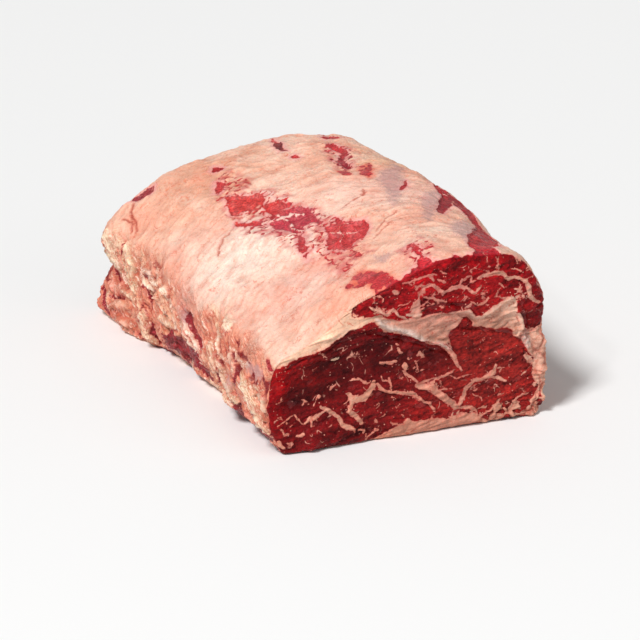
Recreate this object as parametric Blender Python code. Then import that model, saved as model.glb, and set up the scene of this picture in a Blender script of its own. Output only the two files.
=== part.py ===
"""Raw beef ribeye loin: one boneless piece with its fat cap on top and a cut face at the front.

Lengths are in millimetres until the points become a mesh, which is in metres.
+X is to the right of the cut face, +Y runs away from it along the loin, +Z is up.
"""
import math

import bmesh
import bpy
from mathutils import Vector, noise
from mathutils.geometry import delaunay_2d_cdt

NODE_NAME = "ribeye_loin"
METRES_PER_MM = 0.001

# Driving dimensions
LOIN_LENGTH = 282.0
FRONT_SKEW_DEGREES = 1.0
FRONT_RIM_RADIUS = 3.0
FAR_RIM_RADIUS = 9.0
FRONT_GRID = 4.4
FAR_GRID = 7.0
GRID_MARGIN = 0.6
ROW_COUNT = 42

# How the outline changes along the length: it swells quickly behind the cut face, keeps its height past
# the middle and falls at the far end, where the lower left edge turns out earlier than the rest.
SWELL_POWER = 1.6
FALL_POWER = 2.2
LOWER_LEFT_PLACES = 3
LOWER_LEFT_TURN = (0.58, 0.84)

# Outlines across the loin, from the lower left corner over the top to the lower right corner.
# Each has the same twenty places: 5 up the side, 9 over the fat cap, 6 down the right flank.
FRONT_OUTLINE = [
    (0, 0), (-8, 18), (-11, 35), (-8, 49), (0, 59), (18, 67), (36, 78), (50, 88.5), (70, 95.5), (92, 103.5),
    (115, 107), (134, 106), (150, 101), (162, 91), (168, 77), (170, 60), (172, 40), (172, 24), (170, 10), (166, 0),
]
MIDDLE_OUTLINE = [
    (7, 0), (-3, 18), (-6, 38), (-4, 52), (6, 65), (28, 79), (52, 91), (74, 99.5), (95, 106), (115, 110.5),
    (135, 111), (152, 107.5), (165, 99.5), (174, 87), (179, 72), (181, 55), (181, 38), (180, 22), (176, 8), (170, 0),
]
FAR_OUTLINE = [
    (-7, 0), (-8, 13), (-3, 32), (-4, 50), (1, 64), (15, 76), (38, 88), (62, 95.5), (86, 98.5), (106, 100),
    (126, 100.5), (145, 99), (160, 94.5), (171, 84.5), (177, 70), (179, 54), (181, 38), (180, 22), (177, 8), (170, 0),
]
SPAN_STEPS = [4, 4, 3, 3, 4, 4, 3, 3, 3, 3, 3, 3, 3, 2, 2, 2, 2, 2, 2]
UNDERSIDE_STEPS = 13

# Lobes of fat and meat on the left side: start (y, z), end (y, z), radius, height.
LEFT_LOBES = [
    ((268, 54), (252, 55), 12, 3.6),
    ((268, 45), (246, 38), 8, 3.4),
    ((235, 47), (222, 36), 8, 3.2),
    ((277, 22), (271, 5), 9, 2.6),
    ((266, 12), (234, 8), 9, 3.5),
    ((212, 19), (200, 6), 9, 4.5),
    ((178, 24), (168, 17), 8, 3.0),
    ((164, 8), (112, 8), 7, 2.0),
    ((210, 45), (178, 42), 6, 2.2),
    ((141, 33), (113, 19), 4, 2.2),
    ((86, 27), (57, 16), 9, 3.6),
    ((93, 33), (80, 36), 7, 2.5),
    ((78, 11), (64, 9), 7, 2.0),
    ((49, 33), (23, 21), 6, 3.2),
    ((31, 37), (5, 14), 5, 2.6),
]

# Creases between those lobes, cut inwards: start (y, z), end (y, z), radius, depth.
LEFT_CREASES = [
    ((243, 66), (243, 41), 4.5, 4.0),
    ((272, 31), (245, 29), 4.5, 5.0),
    ((275, 13), (251, 18), 3.5, 3.0),
    ((209, 38), (195, 33), 4.5, 3.5),
    ((191, 19), (194, 4), 4.5, 5.0),
    ((130, 40), (111, 31), 7, 3.5),
    ((160, 27), (146, 5), 4.0, 2.5),
    ((96, 22), (88, 6), 5, 5.0),
    ((52, 20), (47, 6), 4, 3.0),
    ((36, 34), (8, 30), 3, 1.6),
]

# Folds and trimmed hollows of the fat cap, seen from above: start (x, y), end (x, y), radius, height.
CAP_FOLDS = [
    ((42, 150), (52, 96), 10, 1.0),
    ((96, 176), (100, 96), 16, 1.2),
    ((122, 152), (128, 160), 7, 1.6),
    ((150, 150), (160, 90), 8, 1.4),
    ((108, 60), (96, 24), 10, 1.2),
]
CAP_HOLLOWS = [
    ((46, 186), (60, 172), 9, 1.8),
    ((63, 166), (72, 146), 6, 1.5),
    ((68, 140), (62, 116), 7, 1.5),
    ((55, 132), (60, 122), 6, 1.0),
    ((74, 92), (87, 88), 11, 1.8),
    ((131, 216), (118, 176), 7, 3.2),
    ((141, 152), (118, 104), 7, 1.2),
    ((152, 102), (136, 76), 5, 2.0),
    ((130, 92), (128, 40), 6, 0.9),
    ((146, 40), (130, 12), 7, 1.4),
    ((56, 247), (63, 243), 5, 1.6),
    ((131, 243), (139, 236), 6, 2.0),
    ((107, 266), (117, 261), 6, 2.0),
]

# Fatty lumps of the right flank: start (y, z), end (y, z), radius, height.
FLANK_LOBES = [
    ((14, 44), (22, 20), 7, 2.0),
    ((60, 30), (110, 22), 12, 2.2),
    ((150, 60), (210, 48), 13, 2.0),
    ((190, 20), (240, 16), 10, 2.4),
]

# Unevenness of the surface: the size of its lumps and folds, and how far they stand out.
SOFT_LUMP = 46.0
SOFT_LUMP_HEIGHT = 2.6
SOFT_LUMP_OCTAVES = 3
RIDGE_LENGTH = 30.0
RIDGE_WIDTH = 9.0
RIDGE_WANDER = 12.0
RIDGE_WANDER_SIZE = 40.0
RIDGE_ROUNDNESS = 0.7
LEFT_RIDGE_HEIGHT = 1.9
FLANK_RIDGE_HEIGHT = 1.2
CAP_RIDGE_HEIGHT = 0.5
CUT_GRAIN = (9.0, 7.0)
CUT_GRAIN_HEIGHT = 0.5

# The way the folds run: on the left side as (y, z), on the cap as (x, y).
LEFT_FOLD_RUN = Vector((0.87, 0.49))
CAP_FOLD_RUN = Vector((0.6, -0.8))

# Separate random patterns for the folds of each side.
LEFT_SEED = 3.0
CAP_SEED = 11.0
FLANK_SEED = 23.0
CUT_SEED = 31.0
WANDER_SEED_STEP = 5.0

# A side's relief fades in between these parts of its facing, and above these heights over the board.
SIDE_FACING = (0.15, 0.75)
END_FACING = (0.5, 0.95)
SIDE_CLEAR = (0.0, 5.0)
END_CLEAR = (0.0, 2.0)
BAND_FALLOFF = 1.6

# Swellings of the muscles and hollows between them on the cut face: start (x, z), end (x, z), radius, height.
CUT_SWELLINGS = [
    ((90, 84), (160, 76), 15, 3.0),
    ((86, 68), (150, 60), 8, 2.4),
    ((108, 42), (150, 38), 18, 2.0),
    ((72, 22), (130, 16), 16, 1.6),
    ((163, 46), (174, 22), 8, 2.2),
    ((18, 8), (44, 5), 9, 3.0),
    ((72, 5), (160, 3), 7, 2.6),
]
CUT_HOLLOWS = [
    ((10, 48), (66, 62), 13, 3.4),
    ((12, 24), (40, 33), 12, 2.4),
    ((95, 56), (130, 53), 5, 1.6),
    ((52, 80), (84, 72), 4, 1.6),
]

MEAT_COLOUR = (0.36, 0.022, 0.02, 1.0)
FAT_COLOUR = (0.83, 0.55, 0.42, 1.0)
FAT_ROUGHNESS = 0.42
MEAT_ROUGHNESS = 0.38
MEAT_FACING = 0.75


def clear_scene():
    for existing in list(bpy.data.objects):
        bpy.data.objects.remove(existing, do_unlink=True)


def smooth_step(value, low, high):
    share = min(max((value - low) / (high - low), 0.0), 1.0)
    return share * share * (3.0 - 2.0 * share)


def through_points(points, steps):
    """Points on a smooth curve through all of points, with the given number of steps in each span."""
    places = []
    last = len(points) - 1
    for index, count in enumerate(steps):
        before = Vector(points[max(index - 1, 0)])
        start = Vector(points[index])
        end = Vector(points[index + 1])
        after = Vector(points[min(index + 2, last)])
        for step in range(count):
            share = step / count
            places.append(0.5 * (
                2.0 * start
                + (end - before) * share
                + (2.0 * before - 5.0 * start + 4.0 * end - after) * share ** 2
                + (3.0 * start - before - 3.0 * end + after) * share ** 3
            ))
    places.append(Vector(points[last]))
    return places


def blended_outline(share):
    """The outline at a share of the loin's length."""
    if share < 0.5:
        weight = 1.0 - (1.0 - share / 0.5) ** SWELL_POWER
        return [Vector(a).lerp(Vector(b), weight) for a, b in zip(FRONT_OUTLINE, MIDDLE_OUTLINE)]
    early = smooth_step(share, *LOWER_LEFT_TURN)
    late = (share / 0.5 - 1.0) ** FALL_POWER
    weights = [early] * LOWER_LEFT_PLACES + [late] * (len(FAR_OUTLINE) - LOWER_LEFT_PLACES)
    return [Vector(a).lerp(Vector(b), weight) for a, b, weight in zip(MIDDLE_OUTLINE, FAR_OUTLINE, weights)]


def closed_section(share):
    """One ring of (x, z) points: up the left side, over the top, down the right and back along the underside."""
    ring = through_points(blended_outline(share), SPAN_STEPS)
    right_corner, left_corner = ring[-1], ring[0]
    for step in range(1, UNDERSIDE_STEPS):
        ring.append(right_corner.lerp(left_corner, step / UNDERSIDE_STEPS))
    return ring


def inset_ring(ring, distance):
    """The ring drawn in by a distance at its sides and top. Its underside stays on the board."""
    low_x = min(place.x for place in ring)
    high_x = max(place.x for place in ring)
    high_z = max(place.y for place in ring)
    foot = Vector(((low_x + high_x) / 2.0, 0.0))
    kept = Vector((1.0 - 2.0 * distance / (high_x - low_x), 1.0 - distance / high_z))
    return [foot + (place - foot) * kept for place in ring]


def lengthwise_place(x, along):
    """The y of a point that is a distance along the loin: the cut is askew and the far end is square."""
    skew = math.tan(math.radians(FRONT_SKEW_DEGREES)) * x
    return along + skew * (1.0 - along / LOIN_LENGTH)


def rim_steps(radius):
    """Inset and advance of the two rings that round an end's rim."""
    return [(radius * (1.0 - math.sin(angle)), radius * (1.0 - math.cos(angle)))
            for angle in (0.0, math.pi / 4)]


def section_rings():
    """All rings of the loin from the cut face to the far end, as lists of (x, y, z)."""
    stations = [(inset, along) for inset, along in rim_steps(FRONT_RIM_RADIUS)]
    straight = LOIN_LENGTH - FRONT_RIM_RADIUS - FAR_RIM_RADIUS
    for row in range(ROW_COUNT):
        stations.append((0.0, FRONT_RIM_RADIUS + straight * row / (ROW_COUNT - 1)))
    for inset, along in reversed(rim_steps(FAR_RIM_RADIUS)):
        stations.append((inset, LOIN_LENGTH - along))
    rings = []
    for inset, along in stations:
        ring = inset_ring(closed_section(along / LOIN_LENGTH), inset)
        rings.append([Vector((place.x, lengthwise_place(place.x, along), place.y)) for place in ring])
    return rings


def is_inside(place, ring):
    inside = False
    for index, (x, z) in enumerate(ring):
        before_x, before_z = ring[index - 1]
        if (z > place[1]) != (before_z > place[1]):
            crossing = x + (place[1] - z) / (before_z - z) * (before_x - x)
            if place[0] < crossing:
                inside = not inside
    return inside


def distance_to_segment(place, start, end):
    run = end - start
    share = (place - start).dot(run) / max(run.length_squared, 1e-9)
    return (place - start.lerp(end, min(max(share, 0.0), 1.0))).length


def end_grid(ring, spacing):
    """Points inside an end's ring on a staggered grid, and the triangles that join them to the ring."""
    edges = [(ring[index - 1], ring[index]) for index in range(len(ring))]
    low_x = min(place.x for place in ring)
    high_x = max(place.x for place in ring)
    low_z = min(place.y for place in ring)
    high_z = max(place.y for place in ring)
    row_height = spacing * math.sqrt(3.0) / 2.0
    inner = []
    for row in range(1, int((high_z - low_z) / row_height) + 1):
        z = low_z + row * row_height
        offset = spacing / 2.0 if row % 2 else 0.0
        for column in range(int((high_x - low_x) / spacing) + 1):
            place = Vector((low_x + offset + column * spacing, z))
            if not is_inside(place, ring):
                continue
            if min(distance_to_segment(place, start, end) for start, end in edges) > spacing * GRID_MARGIN:
                inner.append(place)
    points = list(ring) + inner
    loop = list(range(len(ring)))
    result = delaunay_2d_cdt(points, [], [loop], 1, 1e-6)
    return inner, [tuple(face) for face in result[2]]


def band(place, features):
    """Summed height at a 2-D place of capsule-shaped features that fade out softly at their radius."""
    total = 0.0
    for start, end, radius, height in features:
        share = distance_to_segment(place, Vector(start), Vector(end)) / radius
        total += height * math.exp(-BAND_FALLOFF * share * share)
    return total


def ridge_noise(place, run, seed):
    """Folds that run along one direction of a 2-D place: sharp between, rounded on top, from -1 to 1."""
    along = place.dot(run)
    across = place.cross(run)
    wander_place = Vector((across, along, 0.0)) / RIDGE_WANDER_SIZE
    wander_place.z = seed + WANDER_SEED_STEP
    across += noise.noise(wander_place) * RIDGE_WANDER
    folds = noise.noise(Vector((across / RIDGE_WIDTH, along / RIDGE_LENGTH, seed)))
    return 1.0 - 2.0 * abs(folds) ** RIDGE_ROUNDNESS


def soft_lumps(place):
    return SOFT_LUMP_HEIGHT * noise.fractal(place / SOFT_LUMP, 1.0, 2.0, SOFT_LUMP_OCTAVES)


def left_side_height(place):
    side = Vector((place.y, place.z))
    folds = ridge_noise(side, LEFT_FOLD_RUN, LEFT_SEED)
    return band(side, LEFT_LOBES) - band(side, LEFT_CREASES) + LEFT_RIDGE_HEIGHT * folds


def cap_height(place):
    plan = Vector((place.x, place.y))
    folds = ridge_noise(plan, CAP_FOLD_RUN, CAP_SEED)
    return band(plan, CAP_FOLDS) - band(plan, CAP_HOLLOWS) + CAP_RIDGE_HEIGHT * folds


def flank_height(place):
    side = Vector((place.y, place.z))
    folds = ridge_noise(side, Vector((1.0, 0.0)), FLANK_SEED)
    return band(side, FLANK_LOBES) + FLANK_RIDGE_HEIGHT * folds


def cut_height(place):
    face = Vector((place.x, place.z))
    grain = noise.noise(Vector((place.x / CUT_GRAIN[0], place.z / CUT_GRAIN[1], CUT_SEED)))
    return band(face, CUT_SWELLINGS) - band(face, CUT_HOLLOWS) + CUT_GRAIN_HEIGHT * grain


def relief(place, normal):
    """How far the surface stands out at a place, by which way it faces. The underside stays flat."""
    left = smooth_step(-normal.x, *SIDE_FACING)
    right = smooth_step(normal.x, *SIDE_FACING)
    top = smooth_step(normal.z, *SIDE_FACING)
    ends = smooth_step(abs(normal.y), *END_FACING)
    height = soft_lumps(place) * (1.0 - ends)
    height += left * left_side_height(place) + right * flank_height(place) + top * cap_height(place)
    height *= smooth_step(place.z, *SIDE_CLEAR)
    return height + ends * cut_height(place) * smooth_step(place.z, *END_CLEAR)


def add_end(mesh, ring_vertices, spacing):
    """Closes an end: its ring is filled with a staggered grid of points at the end's own skew."""
    ring = [Vector((vertex.co.x, vertex.co.z)) for vertex in ring_vertices]
    inner, triangles = end_grid(ring, spacing)
    depth = sum(vertex.co.y - lengthwise_place(vertex.co.x, 0.0) for vertex in ring_vertices) / len(ring)
    askew = depth < LOIN_LENGTH / 2.0
    vertices = list(ring_vertices)
    for place in inner:
        y = lengthwise_place(place.x, 0.0) if askew else LOIN_LENGTH
        vertices.append(mesh.verts.new((place.x, y, place.y)))
    for triangle in triangles:
        corners = [vertices[index] for index in triangle]
        mesh.faces.new(corners if askew else reversed(corners))


def add_wall(mesh, rings):
    for ring, following in zip(rings, rings[1:]):
        for index in range(len(ring)):
            after = (index + 1) % len(ring)
            mesh.faces.new((ring[index], ring[after], following[after], following[index]))


def raise_relief(mesh):
    mesh.normal_update()
    heights = [(vertex, vertex.normal.copy(), relief(vertex.co, vertex.normal)) for vertex in mesh.verts]
    for vertex, normal, height in heights:
        vertex.co += normal * height
        vertex.co.z = max(vertex.co.z, 0.0)


def centre_on_base(mesh):
    """Puts the origin at the middle of the box's underside and turns millimetres into metres."""
    low = Vector(min(vertex.co[axis] for vertex in mesh.verts) for axis in range(3))
    high = Vector(max(vertex.co[axis] for vertex in mesh.verts) for axis in range(3))
    middle = (low + high) / 2.0
    origin = Vector((middle.x, middle.y, low.z))
    for vertex in mesh.verts:
        vertex.co = (vertex.co - origin) * METRES_PER_MM


def make_material(name, colour, roughness):
    material = bpy.data.materials.new(name)
    material.use_nodes = True
    shader = material.node_tree.nodes["Principled BSDF"]
    shader.inputs["Base Color"].default_value = colour
    shader.inputs["Roughness"].default_value = roughness
    shader.inputs["Metallic"].default_value = 0.0
    return material


def build_loin():
    mesh = bmesh.new()
    rings = [[mesh.verts.new(place) for place in ring] for ring in section_rings()]
    add_wall(mesh, rings)
    add_end(mesh, rings[0], FRONT_GRID)
    add_end(mesh, rings[-1], FAR_GRID)
    bmesh.ops.recalc_face_normals(mesh, faces=mesh.faces[:])
    raise_relief(mesh)
    bmesh.ops.triangulate(mesh, faces=mesh.faces[:], quad_method="SHORT_EDGE")
    centre_on_base(mesh)
    mesh.normal_update()
    for face in mesh.faces:
        face.material_index = 1 if abs(face.normal.y) > MEAT_FACING else 0
    shape = bpy.data.meshes.new(NODE_NAME)
    mesh.to_mesh(shape)
    mesh.free()
    shape.materials.append(make_material("fat_cap", FAT_COLOUR, FAT_ROUGHNESS))
    shape.materials.append(make_material("raw_meat", MEAT_COLOUR, MEAT_ROUGHNESS))
    shape.shade_smooth()
    loin = bpy.data.objects.new(NODE_NAME, shape)
    bpy.context.scene.collection.objects.link(loin)
    return loin


clear_scene()
build_loin()
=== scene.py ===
"""Raw beef ribeye loin: its fat cap, ragged left side, right flank, far end and marbled cut face.

Places in the lists are whole millimetres from the near lower left corner of the meat: x to the right
along the cut face, y away from it along the loin, and z up from the board.
"""

import math

import bpy
import numpy as np
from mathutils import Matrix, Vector, noise


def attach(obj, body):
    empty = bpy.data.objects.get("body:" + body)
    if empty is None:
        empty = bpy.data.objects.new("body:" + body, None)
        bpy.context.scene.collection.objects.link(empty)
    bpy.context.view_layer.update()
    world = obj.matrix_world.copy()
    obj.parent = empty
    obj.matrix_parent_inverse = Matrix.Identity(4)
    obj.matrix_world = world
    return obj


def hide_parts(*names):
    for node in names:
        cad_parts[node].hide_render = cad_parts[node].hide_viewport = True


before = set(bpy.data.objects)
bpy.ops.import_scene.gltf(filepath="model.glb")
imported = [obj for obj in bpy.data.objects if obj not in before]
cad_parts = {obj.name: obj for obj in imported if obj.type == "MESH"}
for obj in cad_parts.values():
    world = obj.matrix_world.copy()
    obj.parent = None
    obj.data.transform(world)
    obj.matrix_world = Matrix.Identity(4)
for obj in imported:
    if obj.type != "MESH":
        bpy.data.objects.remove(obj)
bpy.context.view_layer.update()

SOLID = "ribeye_loin"
BODY = "root"
MM = 0.001
CORNER_TO_FRAME = np.array((85.58, 141.31, 0.0))

# Spacing of the vertices, and the smoothing that takes the solid's flat facets away.
BODY_SPACING = 1.15
SMOOTHING_ROUNDS = 10
CUT_SUBDIVISIONS = 1
MERGE_DISTANCE = 0.00002

# The cut face's piece: how far the body's front reaches back for it, and its rim, which is turned inwards.
CUT_DEPTH = 14.0
RIM_TURN = 2.2
RIM_SHRINK = 0.985
# How deep the body lies under that piece, and the piece's rim under the body, where they look to the front.
BODY_SINK = 0.8
RIM_SINK = 0.25
SINK_REACH = 16.0
CUT_FINISH_REACH = 20.0

# Directions of the grain, the fibres and the folds.
CUT_GRAIN_TILT = math.radians(12.0)
CAP_FIBRE_TILT = math.radians(32.0)
CAP_FAR_FIBRE_TILT = math.radians(-18.0)
SIDE_FOLD_TILT = math.radians(29.4)

# What the tones of the cap's fat and of the cut muscle are multiplied by.
FAT_BLUSH = np.array((0.96, 0.87, 0.89))
CUT_MEAT_DEPTH = np.array((1.02, 0.48, 0.5))

NO_SKIN = -30.0
FAR = 1e9
TINY = 1e-6

FLOOR_SIZE = 6.0
LIGHT_TARGET = Vector((0.0, 0.0, 0.05))
CAMERA_PLACE = (-1.0415, -2.3939, 0.9654)
CAMERA_AZIMUTH = -23.5
CAMERA_ELEVATION = 19.8
CAMERA_LENS = 253.125

# The cut face, with its points as (x, z).

# Fat and sinew seams: half-width, then the points of the seam.
CUT_SEAMS = [
    # under the cap muscle
    (0.9, [(56, 84), (61, 82), (65, 78), (70, 81), (74, 77), (81, 74)]),
    (3.0, [(82, 70), (88, 71), (96, 70), (104, 70), (114, 70)]),
    (3.0, [(85, 67), (91, 64), (102, 65), (109, 68)]),
    (1.3, [(110, 74), (118, 74), (123, 69), (129, 68), (133, 70), (136, 74), (143, 77), (147, 78)]),
    (3.0, [(123, 65), (128, 65), (135, 64), (140, 65), (145, 64), (149, 61), (150, 58)]),
    # the S inside the cap muscle
    (2.9, [(86, 74), (84, 80), (85, 84)]),
    (1.1, [(85, 84), (87, 89), (90, 92), (94, 93), (98, 90), (103, 87), (108, 89), (113, 89), (118, 88),
           (122, 84), (127, 87)]),
    (0.9, [(113, 89), (115, 93), (120, 94)]),
    (0.9, [(89, 86), (95, 85), (99, 82), (104, 80)]),
    (0.6, [(77, 96), (83, 97), (90, 98), (94, 99), (99, 98)]),
    (1.0, [(93, 98), (96, 95)]),
    (1.3, [(125, 92), (130, 93), (136, 94), (141, 93), (145, 89), (149, 89), (153, 88)]),
    (0.6, [(120, 79), (125, 76), (128, 77), (131, 80)]),
    (0.5, [(92, 80), (97, 78)]),
    (0.6, [(139, 87), (142, 84)]),
    (1.4, [(153, 88), (156, 86), (158, 82), (159, 77), (162, 74), (165, 72)]),
    (0.6, [(149, 82), (152, 81), (154, 83)]),
    (0.5, [(147, 95), (151, 94), (154, 92)]),
    # right side
    (1.8, [(150, 68), (152, 65), (152, 60), (151, 56), (149, 54)]),
    (2.4, [(160, 42), (163, 43), (166, 44)]),
    (2.0, [(157, 39), (161, 35), (164, 31), (165, 25), (166, 20)]),
    (1.3, [(169, 40), (170, 35), (170, 28), (169, 21), (166, 14), (162, 6)]),
    (1.3, [(164, 20), (164, 18)]),
    # across the eye
    (1.0, [(92, 57), (101, 55), (106, 50), (109, 45), (112, 40), (115, 36)]),
    (0.8, [(87, 32), (94, 34), (100, 34), (105, 35), (110, 37)]),
    (0.4, [(106, 34), (112, 32), (117, 32), (123, 33)]),
    (0.9, [(78, 41), (83, 37), (87, 32)]),
    (1.6, [(80, 45), (80, 42)]),
    (2.4, [(86, 31), (95, 29), (100, 24), (105, 20), (109, 16), (111, 13)]),
    (2.4, [(112, 13), (110, 9), (109, 6)]),
    (1.4, [(112, 13), (114, 16), (116, 20), (117, 24), (120, 27), (123, 29)]),
    (1.4, [(124, 29), (129, 29), (133, 30), (137, 32), (138, 36)]),
    (1.0, [(133, 29), (139, 28), (144, 25)]),
    (0.6, [(140, 34), (142, 33), (140, 31)]),
    (0.6, [(155, 27), (158, 29)]),
    (0.6, [(147, 23), (148, 22)]),
    (0.6, [(122, 20), (127, 17), (128, 14)]),
    (0.9, [(129, 7), (134, 9), (138, 10), (140, 14)]),
    (1.1, [(114, 12), (120, 12), (125, 9), (127, 6)]),
    (1.1, [(62, 32), (67, 30), (72, 29), (79, 27), (84, 26), (88, 23), (91, 20), (95, 19)]),
    (1.5, [(79, 27), (85, 26)]),
    (0.8, [(94, 19), (96, 16), (97, 13)]),
    (0.5, [(101, 27), (108, 26)]),
    (0.9, [(63, 48), (68, 47), (74, 47)]),
    (0.9, [(74, 55), (75, 53), (77, 52)]),
    (0.5, [(74, 58), (75, 57)]),
    # bottom
    (3.8, [(66, 2), (76, 5), (95, 5), (105, 4), (115, 5), (123, 5)]),
    (1.6, [(60, 1), (67, 3)]),
    (2.0, [(78, 9), (81, 9)]),
    (0.6, [(69, 10), (74, 8)]),
    (1.2, [(137, 3), (143, 5)]),
    (0.6, [(150, 12), (155, 14), (160, 14)]),
    (1.6, [(154, 3), (160, 4), (165, 6)]),
    # left half of the eye
    (2.3, [(58, 37), (57, 34), (53, 29), (49, 28), (45, 28), (43, 31)]),
    (1.5, [(45, 28), (43, 21), (46, 18), (51, 13)]),
    (0.4, [(43, 28), (40, 26)]),
    (1.4, [(25, 26), (28, 24), (32, 22), (35, 19), (37, 15), (41, 12), (46, 10)]),
    (0.9, [(28, 23), (22, 21), (17, 20), (14, 18)]),
    (0.6, [(18, 19), (18, 16)]),
    (0.6, [(8, 25), (9, 22), (13, 18)]),
    (0.4, [(-4, 19), (1, 21), (7, 24)]),
    (0.4, [(20, 27), (22, 29), (23, 34)]),
    (0.6, [(49, 9), (52, 8), (52, 6)]),
    (0.5, [(59, 7), (57, 5), (51, 0)]),
    (0.7, [(59, 14), (60, 11)]),
    (0.4, [(62, 14), (66, 16)]),
    (0.5, [(-2, 17), (1, 13), (4, 13)]),
    (0.8, [(8, 11), (10, 11), (13, 12)]),
    (0.6, [(31, 35), (34, 37), (36, 38)]),
    (0.8, [(24, 34), (24, 32)]),
    (0.8, [(59, 36), (65, 31), (69, 30), (76, 27)]),
    (0.5, [(69, 31), (69, 35), (68, 38)]),
    (0.4, [(63, 40), (64, 37), (68, 36)]),
    (0.8, [(44, 40), (49, 40), (51, 39)]),
    (0.6, [(51, 39), (54, 37), (56, 38)]),
    (1.2, [(-2, 10), (-1, 7), (1, 5)]),
]

# Short flecks of fat, as seams.
CUT_FLECKS = [
    (1.2, [(70, 91), (74, 91)]),
    (0.7, [(99, 95), (104, 93)]),
    (0.7, [(101, 100), (105, 98)]),
    (1.0, [(82, 48), (83, 48)]),
    (0.9, [(87, 48), (89, 50), (91, 47)]),
]

# Areas of fat on the cut face.
CUT_FAT_AREAS = [
    # the thick seam between the cap muscle and the eye
    [(80, 75), (88, 74), (99, 75), (108, 74), (116, 75), (120, 72), (124, 69), (129, 70), (134, 75),
     (142, 77), (146, 79), (149, 77), (150, 56), (143, 59), (139, 59), (124, 63), (120, 69), (115, 71),
     (114, 67), (109, 64), (106, 61), (109, 50), (103, 55), (95, 58), (82, 62), (71, 66), (66, 66),
     (62, 71), (57, 75), (43, 71), (37, 70), (44, 77), (51, 78), (61, 78), (70, 75), (75, 73)],
    [(104, 55), (109, 47), (114, 35), (111, 47)],
    # bottom slab
    [(59, 1), (63, 3), (66, 5), (74, 3), (79, 10), (93, 8), (108, 7), (115, 9), (127, 8), (127, 3), (115, 0),
     (93, -2), (63, -1)],
    # upper left, outside the eye
    [(-16, 48), (-5, 53), (-1, 54), (11, 58), (25, 62), (35, 66), (43, 71), (52, 74), (52, 79), (45, 80),
     (46, 85), (52, 90), (50, 98), (20, 84), (-16, 66)],
    # left rim
    [(-16, -2), (-3, 2), (-8, 12), (-10, 21), (-11, 28), (-9, 36), (-8, 43), (-6, 50), (-4, 54), (-16, 60)],
    # lumps at the right rim
    [(151, 60), (156, 57), (160, 54), (166, 57), (174, 58), (178, 40), (178, 4), (168, 4), (168, 19),
     (166, 28), (163, 37), (158, 42), (153, 50)],
]

# Grey, see-through sinew over the fat.
GREY_SINEW = [
    (1.8, [(61, 75), (65, 71), (70, 70), (76, 67), (82, 65), (85, 62), (91, 59)]),
    (1.2, [(96, 57), (101, 55), (104, 53), (109, 50)]),
    (2.9, [(156, 57), (156, 53), (156, 49), (158, 46)]),
]

# Edges of fat that curl outwards: half-width, then the points.
CUT_LIPS = [
    (1.3, [(84, 76), (96, 77), (108, 76), (118, 74), (123, 70), (129, 69), (134, 73), (143, 77), (147, 78)]),
    (1.6, [(150, 70), (153, 64), (152, 57), (150, 54)]),
    (1.2, [(56, 84), (65, 79), (72, 78), (80, 75)]),
    (1.4, [(62, 73), (70, 70), (80, 66), (88, 61), (98, 57), (106, 52)]),
]
# Knobs of fat on the cut face: place, radius and height.
CUT_KNOBS = [
    ((168, 47), 4.5, 2.6),
    ((170, 36), 4.0, 1.8),
    ((166, 29), 3.0, 1.5),
    ((171, 20), 3.5, 1.8),
    ((169, 10), 3.5, 2.0),
    ((150, 72), 3.5, 2.4),
    ((149, 64), 1.8, 2.4),
    ((147, 58), 1.6, 2.2),
    ((145, 76), 3.0, 1.8),
    ((137, 70), 3.5, 1.2),
    ((152, 60), 2.5, 1.8),
    ((156, 50), 3.0, 1.4),
    ((160, 4), 3.5, 1.8),
    ((148, 3), 3.0, 1.4),
    ((72, 69), 4.0, 1.6),
    ((84, 64), 3.5, 1.2),
    ((4, 6), 3.5, 1.6),
    ((18, 5), 4.0, 1.4),
]
# The rim over the left half of the eye, which is rounded off more than the rest.
ROUNDED_RIM = [(-9, 46), (0, 59), (18, 67), (36, 78), (50, 88), (62, 93)]
RIM_REACH = 10.0
RIM_ROUNDING = 3.2
# Grooves in the fat and beside it: half-width, then the points.
CUT_GROOVES = [
    (1.0, [(112, 72), (120, 69), (124, 66)]),
    (1.2, [(54, 68), (66, 64), (78, 60), (92, 55), (104, 49), (108, 44)]),
    (1.0, [(112, 64), (122, 61), (136, 58), (147, 55)]),
    (1.0, [(154, 74), (156, 66), (158, 59)]),
    (0.9, [(155, 44), (160, 37), (163, 28)]),
    (0.9, [(88, 78), (100, 79), (112, 78), (120, 76)]),
    (0.8, [(2, 52), (14, 56), (30, 61), (46, 66)]),
    (0.9, [(170, 12), (172, 24), (171, 38)]),
]

# A muscle of the eye that lies deeper than the rest, and whose muscle is also painted darker there as shade.
DARK_RECESS = [(1, 50), (24, 57), (43, 62), (61, 63), (75, 58), (104, 52), (108, 40), (75, 33), (57, 39),
               (37, 32), (22, 31), (5, 25), (-4, 29)]

# The fat cap from above, with its points as (x, y).

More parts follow.
